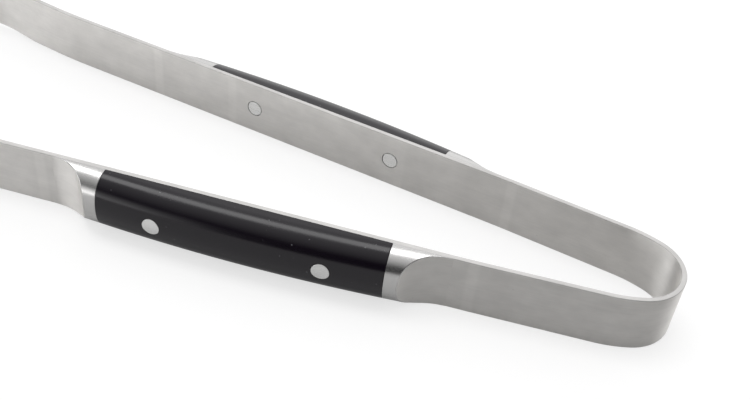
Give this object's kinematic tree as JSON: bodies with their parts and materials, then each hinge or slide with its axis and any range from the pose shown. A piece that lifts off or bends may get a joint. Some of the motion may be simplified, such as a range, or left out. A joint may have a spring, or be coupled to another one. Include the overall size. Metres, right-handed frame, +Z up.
{
  "type": "kitchen tongs",
  "caption": "Spring loaded kitchen tongs: a folded steel strip whose bow is the spring, with riveted grip slabs between bolsters and scalloped tips.",
  "frame": {"origin": "on the surface that the tongs lie on, in the middle of their length and width", "axes": "+X from the tips to the spring bow, +Y to the right arm with the tips pointing away from the user, +Z up across the width of the strip"},
  "size_m": [0.43, 0.1174, 0.025],
  "materials": {
    "strip_steel": "satin brushed stainless steel, grain along the strip",
    "bolster_steel": "polished stainless steel",
    "grip_plastic": "black satin plastic with a fine grain",
    "rivet_steel": "ground flush stainless steel"
  },
  "bodies": {
    "spring_bow": {"spring_bow": "strip_steel"},
    "right_arm": {"right_arm": "strip_steel", "right_grip_slab": "grip_plastic", "right_rear_bolster": "bolster_steel", "right_front_bolster": "bolster_steel", "right_rivets": "rivet_steel"},
    "left_arm": {"left_arm": "strip_steel", "left_grip_slab": "grip_plastic", "left_rear_bolster": "bolster_steel", "left_front_bolster": "bolster_steel", "left_rivets": "rivet_steel"}
  },
  "joints": [
    {"name": "right_squeeze", "type": "hinge", "parent": "spring_bow", "child": "right_arm", "pos_m": [0.20856, 0.01158, 0.0125], "axis": [0, 0, 1], "range_deg": [0, 6.66], "stiffness_Nm_per_rad": 30},
    {"name": "left_squeeze", "type": "hinge", "parent": "spring_bow", "child": "left_arm", "pos_m": [0.20856, -0.01158, 0.0125], "axis": [0, 0, -1], "range_deg": [0, 6.66], "stiffness_Nm_per_rad": 30}
  ],
  "couplings": [
    {"joint": "left_squeeze", "follows": "right_squeeze", "ratio": 1}
  ]
}
